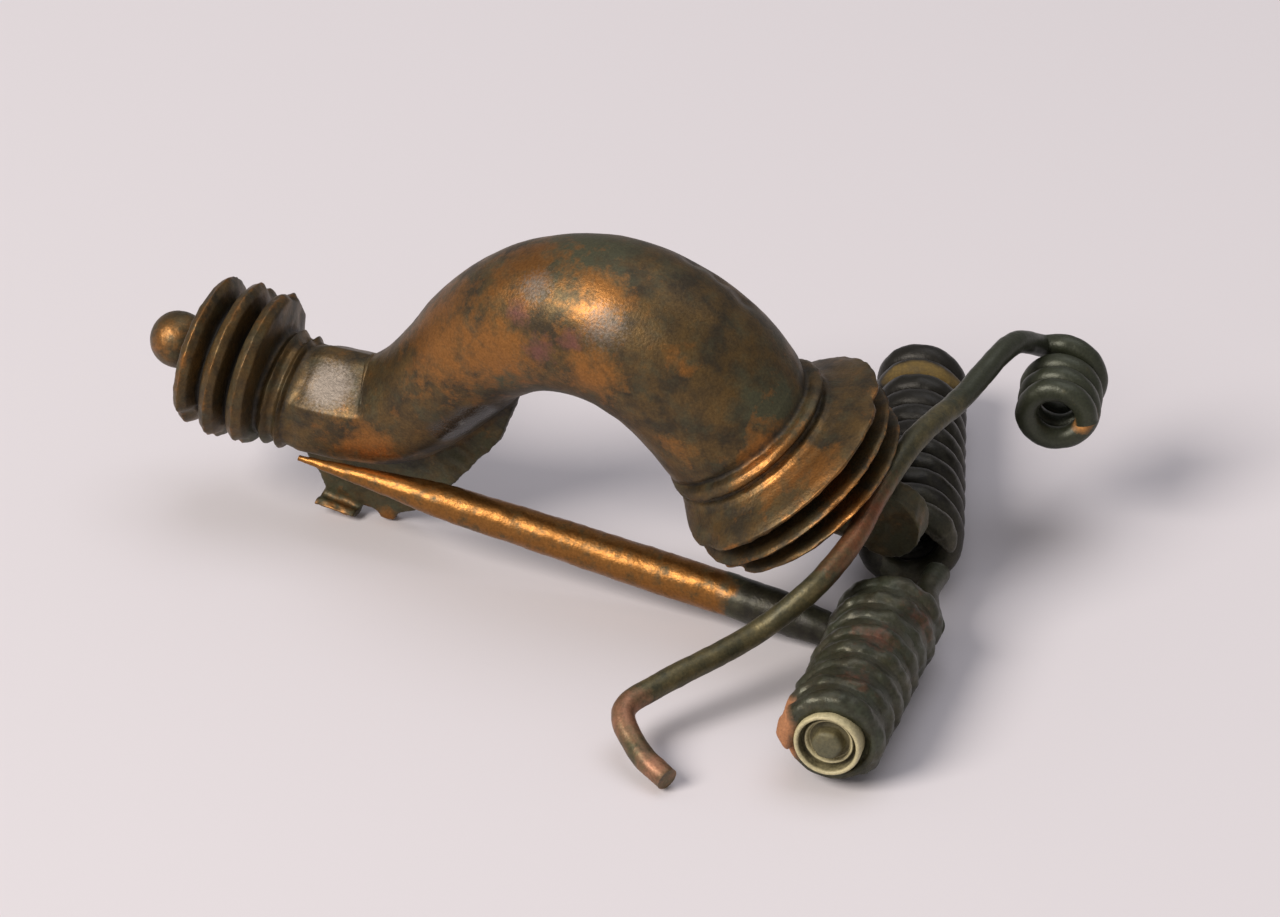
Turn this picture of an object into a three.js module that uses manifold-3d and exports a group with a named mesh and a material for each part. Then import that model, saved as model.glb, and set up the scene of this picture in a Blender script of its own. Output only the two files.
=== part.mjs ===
// Bronze bow brooch (fibula) with a long two-sided coiled spring, an iron axis rod and a loose
// wire through its head. Millimetres, +Z up, standing on z = 0.
// +X runs from the foot to the spring, +Y from the pin's side to the far side.
import * as THREE from "three";
import { mergeVertices } from "three/addons/utils/BufferGeometryUtils.js";
import Module from "manifold-3d";

const wasm = await Module();
wasm.setup();

const DEG = Math.PI / 180;
const V = (x, y, z) => new THREE.Vector3(x, y, z);

// ---- Bow: sizes in its own frame, x along the foot, z up in the plane of the arch ----
const BOW = {
  at: V(-41.1, 0.33, 9.1), // middle of the first foot disc, from the point under the spring
  pitch: 10.8 * DEG, // the foot slopes down towards the arch
  lean: 7.4 * DEG, // the arch leans towards the pin's side
};
const RING_SIDES = 24; // facets round the bow
const RING_START = 7.5 * DEG; // puts ring corners on the corners of the faceted neck

const KNOB = { x: -1.95, z: -0.05, r: 1.68, neck: 0.95 };
// Foot mouldings from the knob to the neck: rim position, rim radius, rim height above the axis.
const FOOT_DISCS = [
  { x: 0.0, r: 4.4, z: 0.05, edge: 0.42 },
  { x: 1.75, r: 4.7, z: 0.08, edge: 0.45 },
  { x: 3.4, r: 4.6, z: 0.2, edge: 0.5 },
  { x: 4.65, r: 3.4, z: -0.6, edge: 0.32 },
  { x: 5.5, r: 3.35, z: -0.6, edge: 0.3 },
];
const FOOT_GROOVE = { big: 3.3, small: 3.05, z: -0.45 };

// The neck has a narrow flat crest and broad slanting faces: corner angles round the bow.
const NECK_CORNERS = [22.5, 82.5, 97.5, 157.5, 217.5, 247.5, 292.5, 322.5];
const NECK = { from: 6.6, to: 9.1, z0: -0.35, z1: 0.1, r: 3.42 };

// Centre line and radius of the round arch, from the neck to the head.
const ARCH = [
  { x: 10.7, z: 0.55, r: 3.25 },
  { x: 12.6, z: 2.3, r: 3.3 },
  { x: 14.4, z: 5.1, r: 3.42 },
  { x: 16.1, z: 8.1, r: 3.7 },
  { x: 18.9, z: 10.75, r: 4.15 },
  { x: 22.4, z: 12.0, r: 4.55 },
  { x: 25.7, z: 11.65, r: 4.72 },
  { x: 28.4, z: 10.3, r: 4.78 },
  { x: 30.2, z: 8.75, r: 4.72 },
];

// Head mouldings along the head's own axis: distance, radius, height of the centre off the axis.
const HEAD = { x: 30.56, z: 8.48, dip: 45.9 * DEG, twist: 9.4 * DEG, under: 4.75 };
const HEAD_MOULDINGS = [
  { t: 0.0, r: 4.5, e: 0.0 },
  { t: 0.3, r: 4.9, e: 0.0 },
  { t: 0.75, r: 5.15, e: 0.0 },
  { t: 1.05, r: 4.75, e: 0.0 },
  { t: 1.3, r: 4.95, e: 0.1 },
  { t: 1.7, r: 5.7, e: 0.2 },
  { t: 2.2, r: 6.75, e: 0.4 },
  { t: 2.55, r: 7.15, e: 0.5 },
  { t: 2.8, r: 6.9, e: 0.5 },
  { t: 3.05, r: 5.6, e: 0.5 },
  { t: 3.4, r: 5.7, e: 0.5 },
  { t: 3.68, r: 6.9, e: 0.6 },
  { t: 3.92, r: 6.85, e: 0.6 },
  { t: 4.2, r: 5.4, e: 0.6 },
  { t: 4.6, r: 5.3, e: 0.6 },
  { t: 4.9, r: 6.3, e: 1.1 },
  { t: 5.12, r: 6.25, e: 1.1 },
  { t: 5.3, r: 4.2, e: 0.5 },
];

// Lug behind the head: a thick round plate over the spring, on a short stem.
const LUG = { x: 39.39, y: 1.25, z: 4.60, r: 2.15, thick: 1.9 };
const STEM = { t0: 4.8, e0: -0.6, y0: 0.2, t1: 9.0, e1: 2.6, y1: 1.3, r: 1.35 };

// Catchplate under the foot: outline in the plane of the arch, then its rolled lower edge.
const PLATE = { thick: 1.15 };
const PLATE_OUTLINE = [
  [6.4, -2.2],
  [6.3, -4.3],
  [7.4, -5.4],
  [7.85, -6.5],
  [11.1, -6.6],
  [11.3, -7.05],
  [12.2, -6.9],
  [12.4, -6.3],
  [12.9, -5.9],
  [13.4, -5.6],
  [15.5, -2.5],
  [17.7, 1.5],
  [18.4, 5.4],
  [18.1, 8.4],
  [15.4, 7.2],
  [12.6, 2.2],
  [10.6, -0.4],
];
const TROUGH = { x0: 7.65, x1: 10.2, z: -6.165, inner: 0.5, wall: 0.65 };

// ---- Spring and pin: one bronze wire, sizes from the point on the table under the spring ----
const COIL = { radius: 2.27, height: 3.02, sides: 6, steps: 12 };
const NEAR_COIL = { from: -3.4, to: -16.2, pitch: 1.62, wire: 1.5, skew: 4.0 * DEG };
const SEAT = { r: 2.06, depth: 3.6 }; // recess in the last near turn round the rod's packing
const FAR_COIL = { from: 3.35, to: 24.0, pitch: 1.92, wire: 1.66, skew: 16.5 * DEG, endScale: 0.8 };
const PIN = { tip: V(-34.5, -2.75, 5.25), tipR: 0.2, bellyR: 1.24 };
const PIN_LINE = [PIN.tip, V(-24, -2.72, 4.0), V(-14.5, -2.75, 2.65), V(-6.5, -3.1, 1.75)];

const CROSSING = [V(2.6, -3.75, 3.1), V(2.0, -2.4, 2.9), V(1.15, -0.3, 2.9), V(1.1, 1.8, 3.0)];

// ---- Axis rod: iron, with the packing ring round its end ----
const ROD = { r: 0.85, from: -16.75, to: -2.7, ringR: 1.78, ringWall: 0.34, ringTo: -15.2 };

// ---- Loose wire through the head ----
const LOOSE_WIRE = { d: 1.36, sides: 6 };
const LOOSE_LINE = [
  V(-6.55, -19.2, 0.72),
  V(-8.4, -18.2, 1.3),
  V(-10.1, -16.3, 2.4),
  V(-8.9, -14.2, 3.0),
  V(-5.6, -9.6, 4.0),
  V(-3.05, -7.45, 6.15),
  V(-1.75, -5.1, 7.8),
  V(-1.2, -1.5, 9.45),
  V(-0.5, 1.9, 10.8),
  V(0.4, 7.2, 10.75),
  V(1.5, 13.2, 11.3),
];
const SMALL_COIL = { x: 4.1, y: 13.7, z: 7.95, r: 1.7, pitch: 1.45, turns: 3.4, skew: 12 * DEG };

// ---- Building blocks ----

// Closed solid over a row of rings with equal point counts; each end closes on its middle.
function skin(rings) {
  const count = rings[0].length;
  const points = rings.flat();
  const index = [];
  for (let i = 0; i + 1 < rings.length; i++) {
    for (let k = 0; k < count; k++) {
      const a = i * count + k;
      const b = i * count + ((k + 1) % count);
      index.push(a, b, a + count, b, b + count, a + count);
    }
  }
  const middle = (ring) => ring.reduce((sum, p) => sum.add(p), V(0, 0, 0)).divideScalar(count);
  const first = points.push(middle(rings[0])) - 1;
  const last = points.push(middle(rings.at(-1))) - 1;
  const tail = (rings.length - 1) * count;
  for (let k = 0; k < count; k++) {
    const next = (k + 1) % count;
    index.push(first, next, k);
    index.push(last, tail + k, tail + next);
  }
  const geometry = new THREE.BufferGeometry().setFromPoints(points);
  geometry.setIndex(index);
  return geometry;
}

// Round wire along a list of points, with a radius at each; the frame turns as little as it can.
function wire(points, radii, sides) {
  const rings = [];
  let side = null;
  points.forEach((p, i) => {
    const before = points[Math.max(i - 1, 0)];
    const after = points[Math.min(i + 1, points.length - 1)];
    const along = after.clone().sub(before).normalize();
    const start = Math.abs(along.z) > 0.9 ? V(1, 0, 0) : V(0, 0, 1);
    const ref = side ?? start;
    side = ref.clone().addScaledVector(along, -ref.dot(along)).normalize();
    const up = along.clone().cross(side);
    const ring = [];
    for (let k = 0; k < sides; k++) {
      const a = (2 * Math.PI * k) / sides;
      const q = p.clone().addScaledVector(side, radii[i] * Math.cos(a));
      ring.push(q.addScaledVector(up, radii[i] * Math.sin(a)));
    }
    rings.push(ring);
  });
  return skin(rings);
}

// A smooth curve through points, sampled at equal steps.
function smooth(points, steps) {
  return new THREE.CatmullRomCurve3(points, false, "centripetal").getPoints(steps);
}

function toSolid(geometry) {
  const plain = geometry.clone();
  plain.deleteAttribute("normal");
  plain.deleteAttribute("uv");
  const merged = mergeVertices(plain, 1e-4);
  return new wasm.Manifold(
    new wasm.Mesh({
      numProp: 3,
      vertProperties: merged.attributes.position.array,
      triVerts: new Uint32Array(merged.index.array),
    }),
  );
}

function toGeometry(solid) {
  const made = solid.getMesh();
  const geometry = new THREE.BufferGeometry();
  geometry.setAttribute("position", new THREE.BufferAttribute(made.vertProperties, 3));
  geometry.setIndex(new THREE.BufferAttribute(made.triVerts, 1));
  geometry.computeVertexNormals();
  return geometry;
}

// ---- Bow ----

// Ring of the bow: centre, dip of the direction of travel, twist towards +y, radius, depth below.
function bowRing({ x, z, dip = 0, twist = 0, r, under = r, facet = 0 }) {
  const along = V(Math.cos(dip), 0, -Math.sin(dip));
  const up = V(Math.sin(dip), 0, Math.cos(dip));
  const side = V(0, Math.cos(twist), 0).addScaledVector(along, -Math.sin(twist));
  const ring = [];
  for (let k = 0; k < RING_SIDES; k++) {
    const a = RING_START + (2 * Math.PI * k) / RING_SIDES;
    const rr = r * THREE.MathUtils.lerp(1, cornered(a / DEG), facet);
    const below = Math.sin(a) < 0 ? under / r : 1;
    const p = V(x, 0, z).addScaledVector(up, below * rr * Math.sin(a));
    ring.push(p.addScaledVector(side, rr * Math.cos(a)));
  }
  return ring;
}

// Radius of a unit polygon whose corners stand at NECK_CORNERS, in the direction of an angle.
function cornered(angle) {
  const a = THREE.MathUtils.euclideanModulo(angle, 360);
  const count = NECK_CORNERS.length;
  for (let i = 0; i < count; i++) {
    const from = NECK_CORNERS[i];
    const span = THREE.MathUtils.euclideanModulo(NECK_CORNERS[(i + 1) % count] - from, 360);
    const into = THREE.MathUtils.euclideanModulo(a - from, 360);
    if (into <= span) return Math.cos((span / 2) * DEG) / Math.cos((into - span / 2) * DEG);
  }
  return 1;
}

function footRings() {
  const rings = [];
  for (const t of [0.05, 0.2, 0.36, 0.5, 0.64, 0.8, 0.94]) {
    const a = t * Math.PI * 0.88;
    rings.push({ x: KNOB.x - KNOB.r * Math.cos(a), z: KNOB.z, r: KNOB.r * Math.sin(a) });
  }
  rings.push({ x: KNOB.x + KNOB.r, z: 0, r: KNOB.neck });
  FOOT_DISCS.forEach((disc, i) => {
    const small = i > 2;
    const root = small ? FOOT_GROOVE.small : FOOT_GROOVE.big;
    const half = disc.edge;
    if (i > 0) {
      const last = FOOT_DISCS[i - 1];
      const x = (last.x + last.edge + disc.x - half) / 2;
      rings.push({ x, z: FOOT_GROOVE.z * Math.min(i / 3, 1), r: root });
    }
    rings.push({ x: disc.x - half, z: disc.z, r: disc.r - 0.35 });
    rings.push({ x: disc.x, z: disc.z, r: disc.r });
    rings.push({ x: disc.x + half, z: disc.z, r: disc.r - 0.35 });
  });
  return rings;
}

function neckRings() {
  const { from, to, z0, z1, r } = NECK;
  const row = [{ x: from - 0.35, z: z0, r: r - 0.12, facet: 1 }];
  for (const t of [0, 0.5, 1]) {
    row.push({ x: from + (to - from) * t, z: z0 + (z1 - z0) * t, r, facet: 1 });
  }
  return row;
}

function archRings() {
  const line = new THREE.CatmullRomCurve3(
    [V(NECK.to, 0, NECK.z1), ...ARCH.map((s) => V(s.x, 0, s.z)), V(HEAD.x, 0, HEAD.z)],
    false,
    "centripetal",
  );
  const radii = [NECK.r, ...ARCH.map((s) => s.r), ARCH.at(-1).r];
  const steps = 22;
  const row = [];
  for (let i = 1; i < steps; i++) {
    const u = i / steps;
    const p = line.getPoint(u);
    const d = line.getTangent(u);
    const j = u * (radii.length - 1);
    const k = Math.floor(j);
    const r = THREE.MathUtils.lerp(radii[k], radii[Math.min(k + 1, radii.length - 1)], j - k);
    const dip = Math.atan2(-d.z, d.x);
    const twist = HEAD.twist * THREE.MathUtils.smoothstep(u, 0.6, 1);
    row.push({ x: p.x, z: p.z, dip, twist, r, facet: Math.max(0, 1 - u * 4) });
  }
  return row;
}

// A point on the head's axis plane: t along the axis, e above it.
function headPoint(t, e) {
  const x = HEAD.x + t * Math.cos(HEAD.dip) + e * Math.sin(HEAD.dip);
  const z = HEAD.z - t * Math.sin(HEAD.dip) + e * Math.cos(HEAD.dip);
  return { x, z };
}

function headRings() {
  return HEAD_MOULDINGS.map(({ t, r, e }) => {
    const { x, z } = headPoint(t, e);
    return { x, z, dip: HEAD.dip, twist: HEAD.twist, r, under: HEAD.under + e };
  });
}

function catchplate() {
  const outline = new THREE.Shape(PLATE_OUTLINE.map(([x, z]) => new THREE.Vector2(x, z)));
  const plate = new THREE.ExtrudeGeometry(outline, { depth: PLATE.thick, bevelEnabled: false });
  plate.translate(0, 0, -PLATE.thick / 2);
  plate.rotateX(90 * DEG);
  return toSolid(plate);
}

// The plate's lower edge rolls towards the pin's side into a shallow hook.
function trough() {
  const { x0, x1, z, inner, wall } = TROUGH;
  const outer = inner + wall;
  const cy = -inner + PLATE.thick / 2 - wall;
  const shape = new THREE.Shape();
  const arc = [];
  for (let i = 0; i <= 6; i++) arc.push((i / 6) * 150 * DEG);
  arc.forEach((a) => shape.lineTo(cy + outer * Math.cos(a), -outer * Math.sin(a)));
  arc.reverse().forEach((a) => shape.lineTo(cy + inner * Math.cos(a), -inner * Math.sin(a)));
  const points = shape.getPoints().slice(1);
  const hook = new THREE.ExtrudeGeometry(new THREE.Shape(points), {
    depth: x1 - x0,
    bevelEnabled: false,
  });
  // Section x becomes y, section y becomes z, depth becomes x.
  hook.applyMatrix4(new THREE.Matrix4().set(0, 0, 1, x0, 1, 0, 0, 0, 0, 1, 0, z, 0, 0, 0, 1));
  return toSolid(hook);
}

function lug() {
  const plate = new THREE.CylinderGeometry(LUG.r, LUG.r, LUG.thick, 16);
  plate.translate(LUG.x, LUG.y, LUG.z);
  return toSolid(plate);
}

function stem() {
  const a = headPoint(STEM.t0, STEM.e0);
  const b = headPoint(STEM.t1, STEM.e1);
  const line = [V(a.x, STEM.y0, a.z), V(b.x, STEM.y1, b.z)];
  return toSolid(wire(line, [STEM.r, STEM.r], 10));
}

function makeBow() {
  const rings = [...footRings(), ...neckRings(), ...archRings(), ...headRings()].map(bowRing);
  const whole = toSolid(skin(rings)).add(catchplate()).add(trough()).add(stem()).add(lug());
  return toGeometry(whole);
}

// ---- Spring and pin ----

// A point of a coil lying along y and turned about z: a across, b along.
function turned(a, b, skew) {
  return V(a * Math.cos(skew) - b * Math.sin(skew), b * Math.cos(skew) + a * Math.sin(skew), 0);
}

// Coil whose turns all touch the table, from y0 to y1 along its axis and through start to end.
function helix({ y0, y1, start, end, radius0, radius1, skew }) {
  const count = Math.round((Math.abs(end - start) / 360) * COIL.steps);
  const points = [];
  for (let i = 0; i <= count; i++) {
    const u = i / count;
    const a = (start + (end - start) * u) * DEG;
    const r = THREE.MathUtils.lerp(radius0, radius1, u);
    const p = turned(r * Math.cos(a), THREE.MathUtils.lerp(y0, y1, u), skew);
    points.push(p.setZ(COIL.height + (r - radius0) + r * Math.sin(a)));
  }
  return points;
}

function pinPoints(root) {
  return smooth([...PIN_LINE, root], 14);
}

function makeSpring() {
  const { from, to, pitch, wire: d } = NEAR_COIL;
  const turns = Math.round((from - to) / pitch);
  const near = helix({
    y0: from,
    y1: to,
    start: -90,
    end: turns * 360 - 155,
    radius0: COIL.radius,
    radius1: COIL.radius - 0.1,
    skew: NEAR_COIL.skew,
  });
  const pin = pinPoints(near[0].clone().add(V(-1.3, 0.05, 0.12))).slice(0, -1);
  const radii = pin.map((p, i) => {
    const u = i / (pin.length - 1);
    const point = Math.min(PIN.tipR + 4.2 * u, 0.9 + 0.7 * u);
    return Math.min(point, PIN.bellyR - 1.6 * Math.max(0, u - 0.75));
  });
  const seat = new THREE.CylinderGeometry(SEAT.r, SEAT.r, SEAT.depth, 20);
  seat.translate(0, to, 0).rotateZ(NEAR_COIL.skew).translate(0, 0, COIL.height);
  const first = toSolid(
    wire([...pin, ...near], [...radii, ...near.map(() => d / 2)], COIL.sides),
  ).subtract(toSolid(seat));
  const far = helix({
    y0: FAR_COIL.from,
    y1: FAR_COIL.to,
    start: 0,
    end: Math.round((FAR_COIL.to - FAR_COIL.from) / FAR_COIL.pitch) * 360,
    radius0: COIL.radius - 0.08,
    radius1: COIL.radius * FAR_COIL.endScale,
    skew: FAR_COIL.skew,
  });
  const line = [...CROSSING, ...far];
  const second = wire(line, line.map(() => FAR_COIL.wire / 2), COIL.sides);
  return toGeometry(first.add(toSolid(second)));
}

// ---- Axis rod with its packing ring ----
function makeRod() {
  const { r, from, to, ringR, ringWall, ringTo } = ROD;
  const half = 0.3;
  const profile = [
    [0, from],
    [r * 0.8, from],
    [r, from + 0.12],
    [r, from + half],
    [ringR - ringWall, from + half],
    [ringR - ringWall * 0.6, from + 0.02],
    [ringR, from + 0.12],
    [ringR, ringTo],
    [1.2, ringTo + 0.02],
    [1.2, ringTo + 2.4],
    [r, ringTo + 2.5],
    [r, to],
    [0, to],
  ].map(([x, y]) => new THREE.Vector2(x, y));
  return new THREE.LatheGeometry(profile, 16).rotateZ(NEAR_COIL.skew);
}

// ---- Loose wire ----
function makeLooseWire() {
  const { x, y, z, r, pitch, turns, skew } = SMALL_COIL;
  const coil = [];
  for (let i = 0; i <= turns * 12; i++) {
    const a = (120 - 30 * i) * DEG;
    const wide = r + 0.55 * Math.max(0, 1 - i / 5); // the first bend stands off the coil
    const p = turned(wide * Math.cos(a), 2.6 - (pitch * i) / 12, skew);
    coil.push(p.add(V(x, y, z + wide * Math.sin(a))));
  }
  const line = [...smooth(LOOSE_LINE, 30), ...coil];
  return wire(line, line.map(() => LOOSE_WIRE.d / 2), LOOSE_WIRE.sides);
}

// ---- Assembly ----
function mesh(name, geometry, color, roughness, metalness) {
  const material = new THREE.MeshStandardMaterial({ color, roughness, metalness });
  const made = new THREE.Mesh(geometry, material);
  made.name = name;
  return made;
}

const bow = mesh("bow", makeBow(), 0x6a4a2a, 0.45, 0.85);
bow.rotation.set(BOW.lean, BOW.pitch, 0, "YXZ");
bow.position.copy(BOW.at);
const spring = mesh("spring_and_pin", makeSpring(), 0x3c4038, 0.5, 0.7);
const rod = mesh("axis_rod", makeRod(), 0x5a5a56, 0.8, 0.2);
rod.position.z = COIL.height;
const looseWire = mesh("loose_wire", makeLooseWire(), 0x55563f, 0.55, 0.6);

const brooch = new THREE.Group();
brooch.add(bow, spring, rod, looseWire);

// The origin is the middle of the underside of the whole brooch's box.
const box = new THREE.Box3().setFromObject(brooch, true);
const middle = box.getCenter(V(0, 0, 0)).setZ(box.min.z);
brooch.children.forEach((child) => child.position.sub(middle));

export default brooch;
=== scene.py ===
# %% [markdown]
# # A bronze bow brooch, found in the ground
# The brooch fastened a cloak: a springy pin runs from a long coiled spring to a catchplate
# under the foot, and a thick cast bow arches over the gathered cloth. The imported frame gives
# its pieces as faceted solids at their true size. This file makes each of them again as a
# fine surface in the same place, and gives it the skin that long burial gave the metal.

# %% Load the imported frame
import itertools
import math

import bmesh
import bpy
import numpy as np
from mathutils import Matrix, Vector, kdtree


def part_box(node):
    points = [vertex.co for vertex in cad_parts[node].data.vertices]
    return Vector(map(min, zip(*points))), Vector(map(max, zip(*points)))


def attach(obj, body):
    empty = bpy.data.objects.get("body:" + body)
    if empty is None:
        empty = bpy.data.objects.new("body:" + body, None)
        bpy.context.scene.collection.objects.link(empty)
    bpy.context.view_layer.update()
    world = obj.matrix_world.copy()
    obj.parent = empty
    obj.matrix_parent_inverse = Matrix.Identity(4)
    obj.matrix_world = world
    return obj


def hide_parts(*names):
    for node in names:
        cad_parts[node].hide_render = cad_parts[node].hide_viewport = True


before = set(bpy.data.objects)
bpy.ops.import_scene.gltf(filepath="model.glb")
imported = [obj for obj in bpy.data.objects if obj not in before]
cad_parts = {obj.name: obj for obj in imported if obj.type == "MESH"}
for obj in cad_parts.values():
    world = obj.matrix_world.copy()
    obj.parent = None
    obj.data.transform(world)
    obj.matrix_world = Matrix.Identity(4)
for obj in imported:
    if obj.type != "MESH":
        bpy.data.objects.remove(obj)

MM = 0.001
DEG = math.pi / 180
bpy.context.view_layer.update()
# The point on the table under the middle of the spring, in millimetres: everything starts there.
BOW_CORNER_TO_SPRING = (44.70, 7.485, 0.018)
SPRING_FOOT = np.array(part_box("bow")[0]) / MM + BOW_CORNER_TO_SPRING
print("spring foot (mm)", SPRING_FOOT.round(3))

# %% [markdown]
# ## The camera
# A small object is seen from quite near, so near things look clearly bigger than far ones. The
# camera stands about 30 cm away with a long lens. It looks down by 30 degrees, and across the
# bow from the pin's side. Its place is worked out from two angles and a distance, which is
# easier to change than a row of coordinates.

# %% Camera
AIM = np.array([-17.74, 6.07, 3.89])  # mm from the spring's foot
TURN, RISE, DISTANCE = 20.95 * DEG, 29.96 * DEG, 300.0
SEEN_WIDTH = 71.11  # mm of scene across the picture, at that distance

back = Vector((math.sin(TURN) * math.cos(RISE), -math.cos(TURN) * math.cos(RISE), math.sin(RISE)))
camera = bpy.data.objects.new("camera", bpy.data.cameras.new("camera"))
bpy.context.scene.collection.objects.link(camera)
camera.location = Vector((SPRING_FOOT + AIM) * MM) + back * DISTANCE * MM
camera.rotation_euler = back.to_track_quat("Z", "Y").to_euler()
camera.data.sensor_width = 36
camera.data.lens = 36 * DISTANCE / SEEN_WIDTH
camera.data.clip_start = 0.01
bpy.context.scene.camera = camera
print("lens (mm)", round(camera.data.lens, 1))

# %% [markdown]
# ## Two helpers that everything uses
# Colours are written as the hex values a screen shows, but shaders work in linear light, so one
# function turns them. Node trees are long, so one small function adds a node, sets its
# properties and links its inputs in a single readable line.

# %% Colour and node helpers
def colour(hex_value):
    channels = [int(hex_value[i : i + 2], 16) / 255 for i in (1, 3, 5)]
    linear = [c / 12.92 if c <= 0.04045 else ((c + 0.055) / 1.055) ** 2.4 for c in channels]
    return (*linear, 1.0)


def add(tree, kind, inputs=None, **settings):
    """Adds a node. Each input is a number, a colour, a socket, or a node whose first output is meant."""
    made = tree.nodes.new(kind)
    for name, value in settings.items():
        setattr(made, name, value)
    for name, value in (inputs or {}).items():
        if isinstance(value, bpy.types.Node):
            value = value.outputs[0]
        if isinstance(value, bpy.types.NodeSocket):
            tree.links.new(value, made.inputs[name])
        else:
            made.inputs[name].default_value = value
    return made


# %% [markdown]
# ## The table and the light
# The brooch lies on plain pale paper. One big soft light stands to the front left, a little
# higher than the camera: it gives the broad satin glow on the middle of the bow and the soft
# shadow that falls to the back right. The pale room fills the rest. A big light that is far
# away gives the same softness as a small near one, but lights the whole table evenly.

# %% Table, light and room
def paper_material():
    material = bpy.data.materials.new("matt grey-lilac paper")
    material.use_nodes = True
    shader = material.node_tree.nodes["Principled BSDF"]
    shader.inputs["Base Color"].default_value = colour("#D9D5D8")
    shader.inputs["Roughness"].default_value = 0.9
    shader.inputs["Specular IOR Level"].default_value = 0.2
    return material


TABLE_HALF = 1.5  # metres
table_mesh = bpy.data.meshes.new("table")
corners = [(x * TABLE_HALF, y * TABLE_HALF, 0) for x, y in ((-1, -1), (1, -1), (1, 1), (-1, 1))]
table_mesh.from_pydata(corners, [], [(0, 1, 2, 3)])
table = bpy.data.objects.new("table", table_mesh)
bpy.context.scene.collection.objects.link(table)
table_mesh.materials.append(paper_material())


def soft_light(name, direction, distance, size, power, tint):
    lamp = bpy.data.objects.new(name, bpy.data.lights.new(name, "AREA"))
    bpy.context.scene.collection.objects.link(lamp)
    towards = Vector(direction).normalized()
    lamp.location = Vector(SPRING_FOOT + AIM) * MM + towards * distance
    lamp.rotation_euler = towards.to_track_quat("Z", "Y").to_euler()
    lamp.data.shape = "DISK"
    lamp.data.size = size
    lamp.data.energy = power
    lamp.data.color = colour(tint)[:3]
    return lamp


soft_light("window", (-0.38, -0.66, 0.62), 0.9, 0.46, 8.1, "#FFF7F0")
soft_light("ceiling", (0.1, 0.2, 1.0), 1.1, 0.9, 3.0, "#F6F6FF")
world = bpy.data.worlds.new("pale room")
bpy.context.scene.world = world
world.use_nodes = True
world.node_tree.nodes["Background"].inputs["Color"].default_value = colour("#DEDADC")
world.node_tree.nodes["Background"].inputs["Strength"].default_value = 0.42
bpy.context.scene.view_settings.view_transform = "Standard"

# %% [markdown]
# ## Uneven metal
# Casting, wear and corrosion leave no surface smooth. A cloud of random heights on a lattice,
# blended smoothly between its points, gives hills of one size. Adding the same cloud again at
# half the size and half the height gives smaller hills on the big ones. The lattice heights
# come from multiplying whole numbers, so they are the same on every run.

# %% Mottle: smooth random heights in space
def lattice(points, seed):
    cell = np.floor(points).astype(np.int64)
    part = points - cell
    part = part**3 * (part * (part * 6 - 15) + 10)
    total = np.zeros(len(points))
    for corner in itertools.product((0, 1), repeat=3):
        c = cell + corner
        h = (c[:, 0] * 73856093) ^ (c[:, 1] * 19349663) ^ (c[:, 2] * 83492791) ^ (seed * 265443576)
        h = ((h ^ (h >> 13)) * 127412617) & 0xFFFFFFFF
        height = ((h ^ (h >> 15)) & 0xFFFF) / 32767.5 - 1
        total += height * np.prod(np.where(corner, part, 1 - part), axis=1)
    return total


def mottle(points, size, seed, octaves=3):
    """Heights of about -1 to 1 at points in mm, in hills of about that size in mm."""
    total = sum(lattice(points * 2**k / size + 17.3 * k, seed + k) / 2**k for k in range(octaves))
    return total / 1.4


def step(low, high, value):
    t = np.clip((value - low) / (high - low), 0, 1)
    return t * t * (3 - 2 * t)


# %% [markdown]
# ## From rows of points to a mesh
# A turned or swept shape is a row of rings. Each ring has the same number of points, four
# neighbours make a face, and each end closes on its middle point. The corners of each face go
# round so that the faces look outwards.

# %% Rings to mesh
def ring_mesh(name, rings):
    """rings: an array of rings by points by xyz, in mm."""
    rows, count = rings.shape[:2]
    grid = np.arange(rows * count).reshape(rows, count)
    turned = np.roll(grid, -1, axis=1)
    quads = np.stack([grid[:-1], turned[:-1], turned[1:], grid[1:]], -1).reshape(-1, 4)
    points = np.concatenate([rings.reshape(-1, 3), rings[:1].mean(1), rings[-1:].mean(1)])
    first, last = rows * count, rows * count + 1
    ends = [(first, turned[0, k], grid[0, k]) for k in range(count)]
    ends += [(last, grid[-1, k], turned[-1, k]) for k in range(count)]
    mesh = bpy.data.meshes.new(name)
    mesh.from_pydata(points.tolist(), [], quads.tolist() + [tuple(map(int, e)) for e in ends])
    piece = bpy.data.objects.new(name, mesh)
    bpy.context.scene.collection.objects.link(piece)
    return piece


def points_of(piece):
    found = np.zeros(len(piece.data.vertices) * 3)
    piece.data.vertices.foreach_get("co", found)
    return found.reshape(-1, 3)


def normals_of(piece):
    found = np.zeros(len(piece.data.vertices) * 3)
    piece.data.vertex_normals.foreach_get("vector", found)
    return found.reshape(-1, 3)


def move_points(piece, points):
    piece.data.vertices.foreach_set("co", points.ravel())
    piece.data.update()


def paint(piece, name, values):
    """Keeps a number from 0 to 1 at each point, which a material can read by its name."""
    layer = piece.data.attributes.new(name, "FLOAT", "POINT")
    layer.data.foreach_set("value", np.clip(values, 0, 1).astype(np.float32))


def applied(piece):
    """The piece with its modifiers worked into a plain mesh."""
    bpy.context.view_layer.update()
    evaluated = piece.evaluated_get(bpy.context.evaluated_depsgraph_get())
    mesh = bpy.data.meshes.new_from_object(evaluated)
    piece.modifiers.clear()
    if piece.type == "MESH":
        piece.data = mesh
        return piece
    made = bpy.data.objects.new(piece.name + "_mesh", mesh)
    bpy.context.scene.collection.objects.link(made)
    bpy.data.objects.remove(piece)
    return made


def unite(piece, others):
    for other in others:
        join = piece.modifiers.new("join", "BOOLEAN")
        join.operation = "UNION"
        join.solver = "MANIFOLD"
        join.object = other
        applied(piece)
        bpy.data.objects.remove(other)
    return piece


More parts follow.
